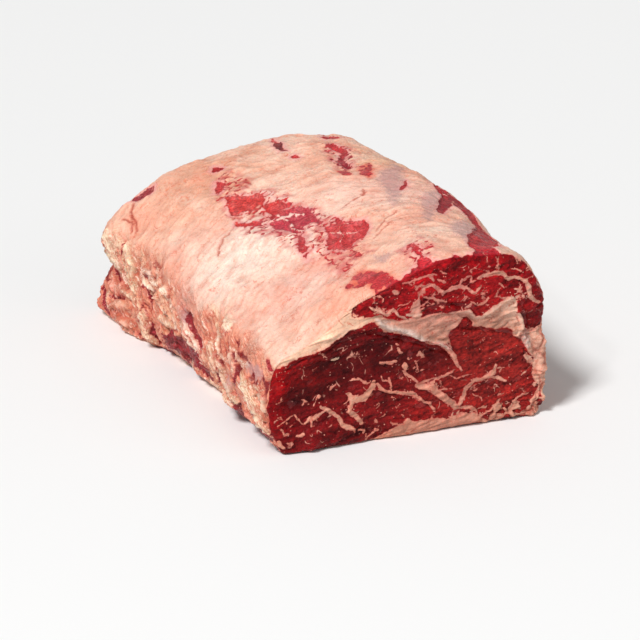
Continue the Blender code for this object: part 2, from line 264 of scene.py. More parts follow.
# Windows in the fat where bright red muscle shows.
RED_WINDOWS = [
    [(48, 203), (52, 198), (65, 187), (64, 178), (60, 171), (53, 178), (43, 183), (45, 192)],
    [(61, 174), (67, 169), (73, 156), (67, 157), (60, 158), (59, 165)],
    [(72, 103), (78, 102), (81, 110), (83, 97), (87, 93), (92, 90), (91, 80), (85, 74), (77, 72), (69, 68),
     (62, 79), (66, 87), (72, 94)],
    [(59, 115), (58, 104), (54, 89), (51, 89), (52, 97)],
    [(50, 87), (53, 86), (51, 81)],
    [(42, 172), (46, 163), (51, 153), (48, 150), (43, 156), (40, 166)],
    [(57, 249), (61, 254), (64, 245), (59, 242)],
    [(101, 225), (105, 226), (105, 219), (102, 219)],
    [(140, 137), (139, 131), (133, 121), (130, 120), (130, 123), (136, 130)],
    [(124, 188), (124, 177), (120, 177), (119, 192), (122, 200), (128, 203)],
    [(122, 3), (126, 8), (130, 12), (138, 9), (140, 4), (139, -4), (122, -4)],
    [(92, 31), (95, 31), (97, 28), (96, 21), (94, 15), (94, 5), (92, 6), (93, 15), (94, 22)],
    [(74, -4), (75, 3), (82, 4), (85, 4), (89, 9), (93, 12), (97, 5), (101, 4), (107, 2), (114, 3), (122, 3),
     (146, 2), (163, 1), (168, -4)],
]
# Windows where darker, purplish muscle shows through a thin skin.
PURPLE_WINDOWS = [
    [(57, 155), (63, 160), (75, 146), (75, 129), (72, 110), (70, 119), (66, 122), (61, 112), (58, 116),
     (55, 127), (52, 134), (52, 142)],
    [(128, 225), (132, 231), (135, 220), (134, 212), (128, 202), (123, 199), (130, 212)],
    [(136, 268), (145, 266), (150, 254), (146, 246), (134, 244), (133, 252), (140, 254)],
    # a dark edge along the right shoulder
    [(156, 128), (154, 104), (154, 84), (154, 66), (152, 46), (150, 30), (162, 28), (162, 66), (163, 104)],
    [(161, 141), (153, 109), (156, 104), (152, 93), (146, 88), (138, 77), (136, 79), (140, 89), (146, 99),
     (151, 109), (151, 118)],
    [(130, 28), (137, 37), (155, 64), (155, 43), (151, 28), (147, 17), (136, 9), (126, 8), (127, 18)],
    [(109, 272), (109, 261), (104, 246), (103, 236), (100, 238), (101, 249), (106, 266)],
    [(52, 230), (55, 225), (49, 215), (47, 218)],
    [(8, 282), (16, 277), (26, 270), (24, 265), (15, 270), (8, 276)],
]
# Thin, torn fat round the windows, with pink showing through it.
TORN_FAT = [
    [(53, 235), (61, 246), (66, 233), (70, 212), (63, 199), (74, 186), (77, 158), (80, 137), (81, 120),
     (85, 105), (91, 93), (93, 80), (86, 70), (80, 66), (81, 47), (70, 46), (54, 36), (54, 68), (50, 82),
     (48, 96), (47, 114), (42, 125), (37, 147), (38, 165), (42, 182), (40, 191), (40, 204)],
    [(130, 235), (140, 222), (139, 205), (129, 186), (128, 170), (112, 176), (114, 200), (122, 226)],
    [(86, 34), (104, 38), (108, 20), (101, 7), (84, 8)],
]
# Fat stained orange and red with blood.
STAINED_FAT = [
    [(122, 168), (128, 174), (135, 178), (125, 150), (121, 146), (118, 155)],
    [(111, 177), (118, 175), (113, 158), (109, 160)],
    [(64, 33), (71, 21), (74, 8), (77, -4), (60, -4), (58, 12), (49, 17), (50, 24), (59, 31)],
]
# Grey, see-through skin over the meat.
GREY_SKINS = [
    [(128, 152), (133, 156), (141, 159), (151, 180), (153, 168), (148, 156), (140, 140), (129, 119),
     (124, 107), (112, 90), (111, 97), (120, 119), (122, 138)],
    [(131, 96), (137, 105), (146, 113), (151, 113), (150, 106), (138, 86), (130, 71), (121, 61), (121, 70),
     (128, 85)],
    [(130, 52), (138, 60), (148, 68), (157, 68), (140, 40), (131, 29), (126, 20), (123, 30), (127, 44)],
    [(78, 41), (84, 33), (78, 27), (74, 32)],
]
# Slits and cracks in the cap: half-width, then the points.
CAP_SLITS = [
    (0.8, [(12, 268), (8, 262), (6, 252), (4, 244)]),
    (0.7, [(2, 262), (4, 252), (1, 246)]),
    (0.8, [(59, 232), (62, 227)]),
    (0.9, [(58, 215), (65, 216), (66, 203)]),
    (0.7, [(54, 216), (59, 214), (63, 201)]),
    (0.4, [(92, 72), (100, 80), (110, 84)]),
    (0.3, [(86, 64), (100, 72), (112, 74)]),
    (0.5, [(90, 118), (104, 122), (110, 131)]),
    (0.5, [(20, 148), (28, 160), (40, 168)]),
    (0.5, [(64, 150), (70, 153), (76, 150)]),
    (0.6, [(41, 186), (44, 176), (53, 172)]),
]
# Pale strands of fat that cross the windows: half-width, then the points.
WINDOW_STRANDS = [
    (1.7, [(51, 152), (57, 146), (66, 143), (72, 135)]),
    (1.3, [(60, 152), (62, 138), (60, 124), (63, 112)]),
    (0.8, [(70, 95), (78, 88), (84, 80)]),
    (0.7, [(78, 100), (77, 88), (72, 78)]),
    (1.2, [(65, 190), (70, 182), (68, 172), (74, 163)]),
    (1.0, [(53, 180), (46, 172), (49, 160), (56, 160)]),
    (1.0, [(66, 118), (64, 106), (60, 96), (57, 84)]),
]

# Tones: place, reach in millimetres and colour.

# On the cut face, as (x, z).
CUT_TONES = [
    ((110, 90), 26, (158, 28, 34)),
    ((150, 86), 18, (140, 22, 30)),
    ((68, 84), 16, (170, 30, 38)),
    ((92, 99), 6, (176, 6, 28)),
    ((108, 102), 6, (182, 4, 30)),
    ((124, 104), 6, (176, 4, 26)),
    ((140, 102), 6, (170, 6, 26)),
    ((154, 94), 6, (144, 8, 22)),
    ((118, 97), 4, (96, 6, 16)),
    ((134, 98), 4, (100, 6, 16)),
    ((132, 46), 24, (150, 58, 48)),
    ((150, 22), 22, (158, 56, 48)),
    ((104, 22), 22, (142, 44, 38)),
    ((62, 14), 22, (120, 30, 30)),
    ((14, 12), 18, (106, 20, 24)),
    ((-6, 22), 7, (154, 4, 18)),
    ((-5, 34), 7, (160, 4, 20)),
    ((0, 46), 7, (170, 16, 24)),
    ((12, 50), 7, (150, 24, 28)),
    # the tones from here to (34, 34) lie in the deeper muscle under the thick seam: its darker red, darkened
    # further as painted shade of that recess
    ((24, 42), 12, (128, 30, 28)),
    ((40, 50), 12, (84, 16, 20)),
    ((14, 34), 9, (70, 10, 16)),
    ((60, 54), 12, (74, 12, 16)),
    ((78, 42), 12, (106, 28, 28)),
    ((100, 44), 10, (66, 12, 16)),
    ((34, 34), 7, (84, 16, 18)),
    ((162, 63), 6, (96, 6, 18)),
]
# On the cut face's fat, as (x, z).
CUT_FAT_TONES = [
    ((96, 68), 18, (190, 140, 120)),
    ((134, 66), 14, (186, 134, 114)),
    ((148, 72), 8, (232, 190, 168)),
    ((90, 4), 30, (204, 136, 112)),
    ((-12, 30), 16, (240, 164, 134)),
    ((12, 68), 20, (248, 202, 172)),
    ((36, 82), 16, (248, 202, 172)),
    ((168, 40), 18, (220, 168, 146)),
    ((100, 20), 20, (200, 138, 122)),
    ((100, 88), 20, (208, 134, 122)),
]
# On the fat cap, as (x, y).
CAP_TONES = [
    # the palest cream at the centre is partly the fat's own tone and partly a painted highlight
    ((28, 130), 34, (255, 246, 228)),
    ((20, 60), 30, (240, 196, 174)),
    ((6, 170), 22, (246, 196, 172)),
    ((60, 240), 30, (226, 172, 140)),
    ((100, 200), 36, (246, 200, 172)),
    ((100, 140), 24, (250, 216, 196)),
    ((130, 110), 20, (250, 212, 192)),
    ((112, 60), 24, (246, 212, 188)),
    ((140, 190), 20, (240, 196, 156)),
    ((40, 60), 20, (246, 204, 188)),
    ((96, 20), 14, (250, 222, 200)),
]
# In the windows of the cap, as (x, y).
WINDOW_TONES = [
    # a dark hole in the fat: partly the dark meat in it, partly painted shadow in the hole
    ((103, 250), 9, (96, 20, 26)),
    ((57, 243), 8, (176, 40, 40)),
    ((57, 180), 22, (222, 74, 68)),
    ((66, 165), 9, (206, 44, 44)),
    ((66, 138), 18, (202, 66, 82)),
    ((76, 88), 16, (216, 68, 70)),
    ((121, 190), 14, (160, 44, 56)),
    ((150, 100), 16, (156, 34, 44)),
    ((142, 40), 18, (192, 60, 62)),
    ((16, 273), 10, (150, 60, 66)),
    ((90, 0), 16, (208, 36, 50)),
    ((120, 0), 16, (196, 20, 42)),
    ((146, 0), 12, (176, 18, 36)),
]
# On the left side, as (y, z).
LEFT_TONES = [
    ((262, 56), 18, (252, 236, 208)),
    ((240, 50), 12, (248, 218, 188)),
    ((215, 44), 16, (230, 178, 150)),
    ((250, 14), 18, (218, 130, 104)),
    ((205, 12), 12, (224, 160, 126)),
    ((165, 30), 16, (222, 146, 116)),
    ((140, 48), 10, (206, 150, 140)),
    ((120, 30), 14, (184, 96, 86)),
    ((84, 34), 16, (232, 164, 132)),
    ((70, 20), 14, (206, 158, 130)),
    ((40, 30), 16, (226, 168, 138)),
    ((14, 30), 14, (232, 164, 136)),
]
# Lobes of fat on the left side, each over the ones before: half-width, height, colour, then (y, z) points.
LEFT_LOBES = [
    (3.0, 2.0, (226, 138, 118), [(264, 21), (254, 25), (240, 26)]),
    (3.6, 2.2, (232, 156, 122), [(251, 13), (239, 17), (228, 18)]),
    (3.2, 2.0, (220, 126, 94), [(239, 9), (229, 10), (219, 9)]),
    (3.0, 1.8, (228, 146, 122), [(236, 2), (226, 2), (214, 3)]),
    (2.2, 1.8, (238, 204, 164), [(262, 62), (252, 57), (247, 51), (244, 46)]),
    (4.4, 2.8, (246, 226, 192), [(267, 56), (260, 51), (255, 45), (248, 38)]),
    (2.6, 2.2, (242, 212, 172), [(245, 60), (240, 53), (229, 50), (222, 44), (220, 38)]),
    (2.6, 2.2, (238, 206, 166), [(242, 44), (231, 41), (224, 36), (215, 31)]),
    (3.0, 2.2, (236, 196, 160), [(243, 26), (229, 26), (215, 27), (206, 23)]),
    (1.6, 1.4, (248, 204, 170), [(223, 55), (206, 50), (192, 45), (181, 40)]),
    (1.6, 1.3, (236, 172, 142), [(232, 58), (214, 53), (197, 48)]),
    (1.8, 1.4, (250, 206, 176), [(202, 57), (182, 53), (165, 48)]),
    (1.6, 1.4, (244, 190, 160), [(190, 38), (178, 36), (166, 33)]),
    (3.4, 2.4, (240, 208, 172), [(204, 24), (202, 18), (200, 12), (200, 5)]),
    (2.4, 1.9, (230, 164, 134), [(193, 18), (191, 11), (190, 4)]),
    (3.0, 2.2, (236, 198, 162), [(180, 29), (168, 28), (157, 27)]),
    (3.2, 2.0, (232, 164, 128), [(180, 18), (166, 20), (150, 25)]),
    (2.6, 1.8, (228, 152, 126), [(184, 5), (174, 10), (162, 14)]),
    (2.2, 1.6, (242, 184, 152), [(160, 47), (154, 41), (144, 34)]),
    (1.6, 1.4, (240, 160, 128), [(108, 53), (102, 46), (97, 39)]),
    (3.4, 2.2, (248, 206, 172), [(92, 40), (82, 37), (75, 31)]),
    (3.2, 2.2, (236, 164, 130), [(102, 25), (92, 22), (84, 17)]),
    (2.4, 1.8, (240, 176, 144), [(104, 33), (97, 29), (90, 26)]),
    (3.8, 2.6, (224, 196, 166), [(73, 34), (66, 29), (58, 23), (51, 16)]),
    (2.8, 2.0, (236, 206, 174), [(74, 20), (64, 18), (55, 13)]),
    (2.6, 1.8, (242, 204, 178), [(60, 42), (50, 40), (43, 34)]),
    (3.8, 2.6, (230, 206, 170), [(36, 42), (28, 35), (19, 29), (9, 22), (1, 15)]),
    (2.4, 1.8, (240, 210, 180), [(22, 41), (10, 36), (2, 29)]),
    (2.2, 1.6, (218, 122, 94), [(42, 17), (34, 13), (22, 9)]),
    (4.0, 0.8, (250, 236, 204), [(83, 58), (72, 55)]),
]
# The same on the right flank.
RIGHT_LOBES = [
    (4.0, 1.6, (240, 200, 166), [(30, 34), (48, 28), (66, 24)]),
    (4.5, 1.6, (244, 206, 176), [(78, 40), (98, 34), (120, 32)]),
    (3.6, 1.4, (232, 170, 138), [(130, 14), (152, 12), (170, 16)]),
    (5.0, 1.8, (242, 204, 172), [(160, 48), (184, 42), (210, 40)]),
    (4.0, 1.6, (236, 184, 152), [(216, 22), (236, 20), (254, 26)]),
]
# Tones of the right flank, as (y, z).
RIGHT_TONES = [
    ((20, 40), 20, (246, 204, 178)),
    ((70, 60), 26, (252, 224, 200)),
    ((120, 30), 26, (244, 196, 170)),
    ((180, 60), 30, (250, 216, 190)),
    ((240, 30), 26, (242, 194, 162)),
]
# Raw patches and pale strands of the right flank, drawn the same way as those of the left side.
RIGHT_FLESH = [
    (7.0, [(44, 22), (70, 20), (96, 26)]),
    (5.0, [(150, 18), (180, 14), (206, 20)]),
    (4.0, [(120, 66), (138, 60)]),
    (4.0, [(226, 60), (250, 50)]),
    (1.5, [(20, 70), (44, 56), (60, 40)]),
]
RIGHT_STRANDS = [
    (1.3, [(60, 62), (90, 54), (120, 50)]),
    (1.0, [(140, 44), (170, 36), (196, 34)]),
    (1.2, [(36, 30), (60, 24), (90, 22)]),
    (1.0, [(206, 66), (230, 58), (256, 56)]),
    (1.0, [(150, 20), (176, 16), (200, 18)]),
]
# Raw patches of the left side where muscle shows: half-width, then (y, z) points.
LEFT_FLESH = [
    (5.4, [(134, 42), (122, 38), (112, 31)]),
    (8.6, [(176, 10), (160, 16), (140, 17), (120, 19), (104, 10)]),
    (4.5, [(286, 36), (282, 24), (277, 10)]),
    (2.0, [(274, 22), (266, 12), (256, 5)]),
    (3.0, [(66, 8), (58, 5), (48, 3)]),
    (2.0, [(80, 27), (75, 23), (84, 10), (96, 6)]),
    (0.9, [(252, 62), (245, 55), (246, 45), (242, 38)]),
    (1.3, [(214, 38), (202, 32)]),
    (1.2, [(272, 29), (260, 28), (251, 28)]),
    (1.2, [(197, 17), (196, 11), (195, 4)]),
    (0.9, [(261, 16), (249, 20), (237, 21)]),
    (0.9, [(45, 38), (44, 31), (50, 21)]),
    (1.2, [(174, 19), (171, 18)]),
    (3.0, [(6, 54), (12, 57), (20, 60)]),
    (1.5, [(30, 6), (14, 4), (2, 3)]),
]
# Grey, see-through skin on the left side: half-width, then (y, z) points.
LEFT_SKINS = [
    (5.0, [(142, 54), (137, 49), (138, 42)]),
    (3.4, [(104, 56), (95, 49)]),
    (5.5, [(38, 56), (28, 50), (16, 46)]),
    (3.0, [(60, 32), (54, 25)]),
]
# Pale strands of sinew down the left side: half-width, then (y, z) points.
LEFT_STRANDS = [
    (0.9, [(212, 45), (200, 43), (190, 41)]),
    (0.9, [(208, 52), (196, 48), (184, 45)]),
    (0.9, [(137, 38), (124, 31), (113, 26), (107, 18)]),
    (0.9, [(143, 36), (130, 29), (120, 24), (111, 20)]),
    (0.8, [(33, 36), (18, 25), (5, 14)]),
    (0.8, [(62, 47), (46, 44), (32, 47)]),
    (0.8, [(90, 48), (76, 42), (62, 38)]),
    (0.8, [(172, 50), (160, 40), (150, 30)]),
    (0.8, [(262, 36), (250, 34), (238, 32)]),
    (0.7, [(160, 14), (148, 10), (138, 5)]),
]

def spaced(share, low, high):
    """Smooth step of an array from 0 at low to 1 at high."""
    part = np.clip((share - low) / (high - low), 0.0, 1.0)
    return part * part * (3.0 - 2.0 * part)


def rounded(rise, size):
    """Round cross-section, from 0 at the edge to 1 where the rise reaches size."""
    return np.sqrt(np.clip(rise / size, 0.0, 1.0))


def bell(places, middle, reach):
    """Soft spot round a middle, 1 there and fading out over its reach."""
    return np.exp(-(np.hypot(*(places - middle).T) / reach) ** 2)


def soft_noise(places, size, seed, octaves=1):
    """Smooth noise of about -1 to 1 at an array of places, with lumps of that size in millimetres."""
    scaled = (places / np.asarray(size, dtype=float) + 13.7 * seed).tolist()
    if octaves == 1:
        return np.array([noise.noise(place) for place in scaled])
    return np.array([noise.fractal(place, 1.0, 2.0, octaves) for place in scaled])


def lobules(places, size, seed):
    """Rounded lobes packed side by side: how far each place is from a crease, and a number for each lobe."""
    gaps, numbers = [], []
    for place in (places / np.asarray(size, dtype=float) + 7.3 * seed).tolist():
        distances, points = noise.voronoi(place)
        gaps.append(distances[1] - distances[0])
        numbers.append(noise.cell(points[0] * 53.0))
    return np.array(gaps), np.array(numbers)


def from_segment(places, start, span):
    """How far along a segment the nearest point to each place lies, from 0 to 1, and its distance."""
    share = np.clip(((places - start) @ span) / max(span @ span, TINY), 0.0, 1.0)
    return share, np.hypot(*(places - start - share[:, None] * span).T)


def line_gap(places, points, half_width):
    """Distance of each place from the edge of a seam with thin ends. Inside it is negative."""
    points = np.array(points, dtype=float)
    lengths = np.hypot(*(points[1:] - points[:-1]).T)
    reached = np.concatenate(((0.0,), np.cumsum(lengths))) / max(lengths.sum(), TINY)
    best = np.full(len(places), FAR)
    for index in range(len(lengths)):
        share, away = from_segment(places, points[index], points[index + 1] - points[index])
        along = reached[index] + share * (reached[index + 1] - reached[index])
        width = half_width * (0.55 + 0.45 * np.sqrt(np.sin(np.pi * along).clip(0.0, 1.0)))
        best = np.minimum(best, away - width)
    return best


def area_gap(places, outline):
    """Distance of each place from a closed outline. Inside it is negative."""
    outline = np.array(outline, dtype=float)
    best = np.full(len(places), FAR)
    inside = np.zeros(len(places), dtype=bool)
    for start, end in zip(outline, np.roll(outline, -1, axis=0)):
        span = end - start
        best = np.minimum(best, from_segment(places, start, span)[1])
        if span[1] != 0.0:
            crosses = (start[1] > places[:, 1]) != (end[1] > places[:, 1])
            at = start[0] + (places[:, 1] - start[1]) / span[1] * span[0]
            inside ^= crosses & (places[:, 0] < at)
    return np.where(inside, -best, best)


def nearest_gap(places, lines=(), areas=()):
    """Distance of each place from the nearest of some seams and areas."""
    gaps = [line_gap(places, points, half_width) for half_width, points in lines]
    gaps += [area_gap(places, outline) for outline in areas]
    return np.minimum.reduce(gaps)


def wandered(places, axes, coarse, fine, seed):
    """Two of the axes, moved to and fro by noise so that drawn lines turn ragged."""
    moved = places[:, axes].copy()
    for column in (0, 1):
        moved[:, column] += coarse * soft_noise(places, 9.0, seed + column, 2)
        moved[:, column] += fine * soft_noise(places, 2.4, seed + column + 2, 2)
    return moved


def tilted(first, second, angle):
    """Two axes turned by an angle: along the grain, then across it."""
    cosine, sine = math.cos(angle), math.sin(angle)
    return first * cosine + second * sine, second * cosine - first * sine


def shade(red, green, blue):
    """A colour as it looks on a screen, as linear values."""
    return [(value / 255.0 / 12.92) if value <= 10 else ((value / 255.0 + 0.055) / 1.055) ** 2.4
            for value in (red, green, blue)]


def tinted(tone, *layers):
    """A tone with layers over it, each a colour and its share at every place."""
    for layer, share in layers:
        tone = tone + (np.array(shade(*layer)) - tone) * np.asarray(share)[..., None]
    return tone


def even_tone(places, tone, light=0.0):
    """One colour for all places, made lighter or darker by a share."""
    return np.array(shade(*tone)) * (np.ones(len(places)) + light)[:, None]


def blended_tones(places, tones, base, base_share=0.3):
    """A soft mix of the named tones round their places."""
    total = np.tile(shade(*base), (len(places), 1)) * base_share
    weight = np.full(len(places), base_share)
    for place, reach, tone in tones:
        share = bell(places, place, reach)
        total += share[:, None] * np.array(shade(*tone))
        weight += share
    return total / weight[:, None]


def finish_of(relief, flesh, fat_tone, meat_tone, skin=NO_SKIN, crease=0.0, cut=0.0, torn=0.0, side=0.0):
    """A surface's relief and finish. A single number counts for all its places."""
    finish = {"relief": relief, "flesh": flesh, "skin": skin, "crease": crease, "fat_tone": fat_tone,
              "meat_tone": meat_tone, "cut": cut, "torn": torn, "side": side}
    return {name: values if np.ndim(values) else np.full(len(relief), values)
            for name, values in finish.items()}


def cut_finish(places, coarse=1.0, seed=1, drift=0.0):
    """Marbled muscle of a cut face. A larger drift changes the pattern."""
    across = wandered(places, [0, 2], coarse, 0.5, seed)
    if drift:
        across += drift * np.column_stack([soft_noise(places, 34.0, seed + more) for more in (7, 8)])
    x, z = across.T
    fat = nearest_gap(across, CUT_SEAMS + CUT_FLECKS, CUT_FAT_AREAS)
    sinew = nearest_gap(across, GREY_SINEW)
    lips = nearest_gap(across, CUT_LIPS)
    groove = spaced(-nearest_gap(across, CUT_GROOVES), -0.8, 1.0)
    deep = spaced(-area_gap(across, DARK_RECESS), -0.5, 7.0)
    cord = spaced(-sinew, -1.0, 1.2)
    along, up = tilted(places[:, 0], places[:, 2], CUT_GRAIN_TILT)
    grained = np.column_stack((along, places[:, 1], up))
    grain = soft_noise(grained, (6.0, 6.0, 2.2), seed + 9, 2)
    bundles = soft_noise(grained, (22.0, 20.0, 8.0), seed + 13, 3)
    folds = np.abs(soft_noise(grained, (18.0, 10.0, 4.0), seed + 12, 2))
    fine = soft_noise(places, 1.5, seed + 10, 2)
    lumps = soft_noise(places, 6.0, seed + 11, 2)
    strings = soft_noise(places, (1.8, 8.0, 9.0), seed + 18, 2)

    # fine marbling between the bundles of the muscle, denser in the cap muscle
    bent = grained + 2.5 * soft_noise(places, 7.0, seed + 19, 2)[:, None]
    web_gap, _ = lobules(bent, (11.0, 24.0, 5.5), seed + 20)
    dense = spaced(z, 72.0, 80.0)
    web_here = spaced(soft_noise(places, 8.0, seed + 21, 2) + 0.27 * dense, 0.36, 0.5)
    fat = np.minimum(fat, web_gap * 3.2 - 0.1 - 0.1 * dense + 5.0 * (1.0 - web_here))

    # lumps of fat along the right rim, and crumbs of fat and meat along the lower right edge
    heaved = places + 3.0 * soft_noise(places, 8.0, seed + 17)[:, None]
    knob_gap, knob_number = lobules(heaved, (8.5, 14.0, 13.0), seed + 14)
    knobs = spaced(x, 150.0, 156.0) * spaced(-z, -62.0, -54.0) * spaced(-fat, -0.5, 0.6)
    crumb_gap, crumb_number = lobules(places, (4.6, 9.0, 3.4), seed + 15)
    crumbs = spaced(-z, -13.0, -7.0) * spaced(x, 122.0, 132.0)
    fat = fat + crumbs * (crumb_number - 0.33) * 7.0
    in_fat = spaced(-fat, -0.5, 0.6)
    between = knobs * (1.0 - spaced(knob_gap, 0.03, 0.2)) + crumbs * (1.0 - spaced(crumb_gap, 0.03, 0.25))

    relief = in_fat * (0.4 * lumps + 2.2 * folds)
    relief += (1.0 - in_fat) * (0.5 * grain + 1.5 * bundles + 0.3 * fine + 0.3)
    relief += knobs * (2.6 * rounded(knob_gap, 0.6) - 1.4 + 0.8 * strings)
    relief += crumbs * (1.8 * rounded(crumb_gap, 0.6) - 0.8)
    relief += cord * (0.9 + 1.4 * soft_noise(places, 3.4, seed + 16, 2))
    for place, radius, height in CUT_KNOBS:
        relief += height * bell(across, place, radius)
    relief += 1.9 * spaced(-lips, -1.2, 1.2) - 1.9 * groove - 1.8 * deep

    meat = blended_tones(across, CUT_TONES, (138, 32, 32), 0.15) * CUT_MEAT_DEPTH
    # painted light and shade: the muscle is lighter on its raised bundles and grain and darker between them,
    # and darker still as painted shade in the deep recess
    bundle_light_and_shade = (0.9 * bundles + 0.55 * grain + 0.5 * fine) * (1.0 - 0.65 * spaced(-x, -8.0, 2.0))
    meat = meat * (np.clip(1.0 + bundle_light_and_shade, 0.25, 1.9) * (1.0 - 0.42 * deep))[:, None]
    pale = blended_tones(across, CUT_FAT_TONES, (208, 152, 130), 0.1)
    pale = tinted(
        # painted light: the fat is lighter on its raised folds and lumps, and the curled lips get a painted
        # highlight
        pale * (0.86 + 0.45 * folds + 0.2 * lumps + 0.12 * fine)[:, None],
        ((232, 196, 174), spaced(-lips, -1.0, 1.0) * 0.5),
        ((206, 186, 176), cord * 0.75),
        ((238, 196, 168), knobs * spaced(knob_number, 0.4, 0.8) * 0.6),
        ((186, 92, 76), np.clip(between * 0.5 + knobs * spaced(-strings, 0.15, 0.5) * 0.35, 0.0, 0.8)),
    )
    shadow = np.clip(groove * (0.4 + 0.5 * (1.0 - in_fat)) + between * 0.35, 0.0, 1.0)
    return finish_of(relief, fat, pale, meat, crease=shadow, cut=1.0)


def cap_finish(places):
    """The fat cap, with its windows, torn places, slits and skins."""
    x, y, z = places.T
    above = wandered(places, [0, 1], 1.7, 0.6, 21)
    above[:, 1] += 3.0 * soft_noise(places, (3.6, 9.0, 9.0), 26, 2) * spaced(-y, -16.0, -4.0)
    strands = nearest_gap(above, WINDOW_STRANDS)
    slits = nearest_gap(above, CAP_SLITS)
    skin = nearest_gap(above, areas=GREY_SKINS)
    torn = spaced(-nearest_gap(above, areas=TORN_FAT), -3.0, 4.0)
    stained = spaced(-nearest_gap(above, areas=STAINED_FAT), -3.0, 3.0)
    open_fat = nearest_gap(above, areas=RED_WINDOWS + PURPLE_WINDOWS)
    window = np.maximum(open_fat, -strands)
    tears = np.abs(soft_noise(places, (8.0, 5.0, 6.0), 31, 2)) * 9.0 + 5.0 * (1.0 - torn)
    flesh = np.maximum(-window, 0.9 - tears)
    flesh = np.maximum(flesh, -2.2 + stained * (3.0 + 3.0 * soft_noise(places, 5.0, 38, 2)))
    flesh = np.where(flesh > 0.0, flesh * 3.0, flesh)

    # two directions of fibres, of which the second takes over on the right and far part of the cap
    waved = places + 7.0 * soft_noise(places, 28.0, 39, 2)[:, None]
    near_fibre, far_fibre = [
        soft_noise(np.column_stack((*tilted(waved[:, 0], waved[:, 1], angle), z)), (13.0, 2.6, 8.0), seed, 2)
        for angle, seed in ((CAP_FIBRE_TILT, 32), (CAP_FAR_FIBRE_TILT, 30))
    ]
    swing = spaced(x + 0.25 * y + 14.0 * soft_noise(places, 40.0, 29), 84.0, 128.0)
    fibre = near_fibre + (far_fibre - near_fibre) * swing
    wrinkle = spaced(0.07 - np.abs(fibre), 0.0, 0.07) * spaced(soft_noise(places, 18.0, 28, 2), -0.35, 0.35)
    wrinkle = wrinkle * (0.25 + 0.75 * np.maximum(swing, spaced(y, 150.0, 230.0)))
    lumps = soft_noise(places, 11.0, 33, 3)
    relief = 0.5 * fibre + lumps + 0.25 * soft_noise(places, 2.2, 34, 2) - 0.8 * wrinkle
    relief += 0.9 * spaced(-strands, -0.6, 0.8) * spaced(-open_fat, -2.0, 1.0)
    relief -= 1.6 * spaced(-window, -0.4, 1.2)
    relief -= 0.9 * spaced(-slits, -0.6, 0.6) + 0.5 * spaced(0.6 - tears, -0.5, 0.6)
    relief += torn * 0.5 * soft_noise(places, 4.0, 35, 2)

    blotch = soft_noise(places, 30.0, 36, 4)
    # painted light and shade: the fat is lighter where the fibres and lumps rise, and darker and warmer
    # orange in the fibre valleys
    pale = blended_tones(above, CAP_TONES, (246, 202, 174)) * (1.0 + 0.1 * fibre + 0.16 * lumps)[:, None]
    pale = tinted(
        pale,
        ((240, 160, 130), spaced(blotch, 0.1, 0.6) * 0.35),
        ((255, 242, 220), spaced(-blotch, 0.1, 0.55) * 0.35),
        ((232, 146, 112), spaced(-fibre, 0.0, 0.6) * 0.28),
        ((224, 120, 84), wrinkle * 0.6),
        ((190, 82, 58), spaced(-slits, -0.8, 0.3) * 0.8),
        ((212, 112, 108), torn * spaced(soft_noise(places, 6.0, 37, 3), -0.4, 0.4) * 0.8),
        ((228, 96, 70), stained * 0.8),
        ((238, 176, 170), spaced(-open_fat, -4.0, -0.5) * 0.7),
        ((250, 222, 206), spaced(-strands, -0.8, 0.4) * 0.7),
    )
    veil = spaced(soft_noise(places, 7.0, 27, 3), -0.1, 0.5) * (1.0 - spaced(-y, -14.0, -3.0))
    meat = blended_tones(above, WINDOW_TONES, (206, 66, 68), 0.15) * (1.0 + 0.35 * fibre)[:, None]
    # the slits' crease value is painted shade in the slits, partly dark blood, darkened in the shader
    return finish_of(relief, flesh, pale * FAT_BLUSH, tinted(meat, ((226, 136, 132), veil * 0.2)), -skin,
                     spaced(-slits, -0.5, 0.5) * 0.6, torn=np.maximum(torn, stained))


